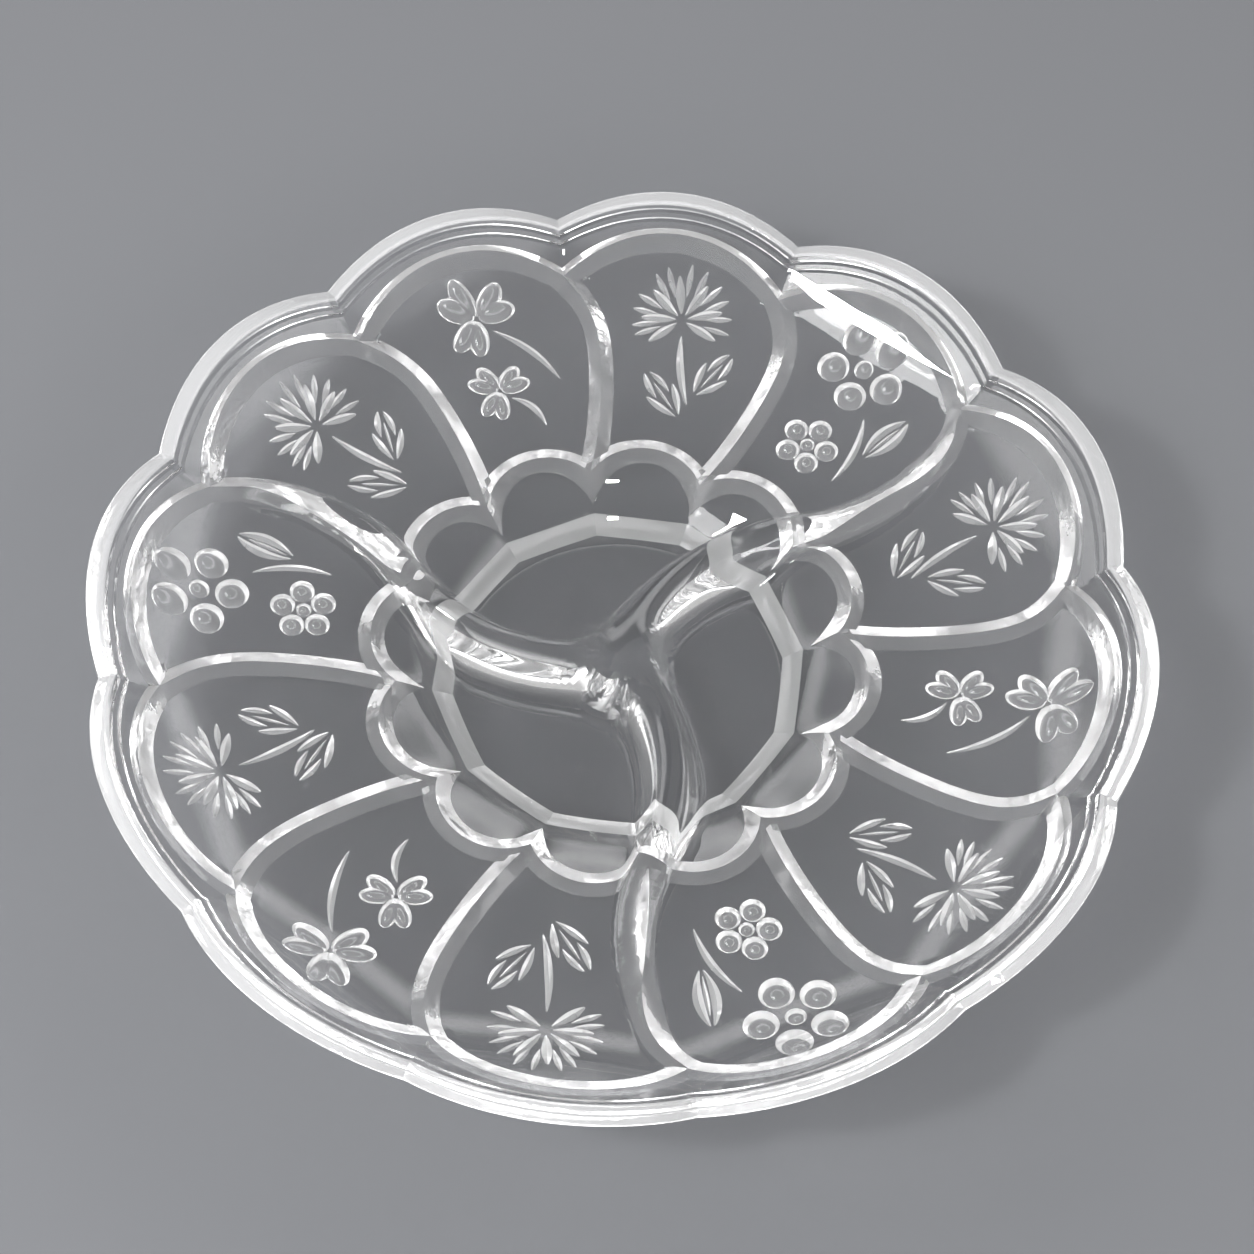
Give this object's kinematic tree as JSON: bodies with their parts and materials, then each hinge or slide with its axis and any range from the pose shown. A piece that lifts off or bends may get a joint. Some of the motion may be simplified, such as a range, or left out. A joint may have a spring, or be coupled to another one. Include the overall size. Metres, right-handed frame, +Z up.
{
  "type": "relish tray",
  "caption": "Round divided serving tray of clear pressed glass with a scalloped rim, petal field, lobed well and S-shaped ridges.",
  "frame": {"origin": "centre of the flat base, on the surface the tray stands on", "axes": "+Z up, out of the well; -Y towards the notch where field_divider_3 ends"},
  "size_m": [0.2954, 0.2954, 0.0435],
  "materials": {
    "pressed_glass": "fire-polished clear glass, with mitre cuts and intaglio flowers on the underside"
  },
  "bodies": {
    "root": {"well_floor": "pressed_glass", "divider_hub": "pressed_glass", "well_lobe_1": "pressed_glass", "well_lobe_2": "pressed_glass", "well_lobe_3": "pressed_glass", "well_lobe_4": "pressed_glass", "well_lobe_5": "pressed_glass", "well_lobe_6": "pressed_glass", "well_lobe_7": "pressed_glass", "well_lobe_8": "pressed_glass", "well_lobe_9": "pressed_glass", "well_lobe_10": "pressed_glass", "well_lobe_11": "pressed_glass", "well_lobe_12": "pressed_glass", "petal_1": "pressed_glass", "petal_2": "pressed_glass", "petal_3": "pressed_glass", "petal_4": "pressed_glass", "petal_5": "pressed_glass", "petal_6": "pressed_glass", "petal_7": "pressed_glass", "petal_8": "pressed_glass", "petal_9": "pressed_glass", "petal_10": "pressed_glass", "petal_11": "pressed_glass", "petal_12": "pressed_glass", "rim_scallop_1": "pressed_glass", "rim_scallop_2": "pressed_glass", "rim_scallop_3": "pressed_glass", "rim_scallop_4": "pressed_glass", "rim_scallop_5": "pressed_glass", "rim_scallop_6": "pressed_glass", "rim_scallop_7": "pressed_glass", "rim_scallop_8": "pressed_glass", "rim_scallop_9": "pressed_glass", "rim_scallop_10": "pressed_glass", "rim_scallop_11": "pressed_glass", "rim_scallop_12": "pressed_glass", "well_divider_1": "pressed_glass", "well_divider_2": "pressed_glass", "well_divider_3": "pressed_glass", "field_divider_1": "pressed_glass", "field_divider_2": "pressed_glass", "field_divider_3": "pressed_glass"}
  },
  "joints": []
}
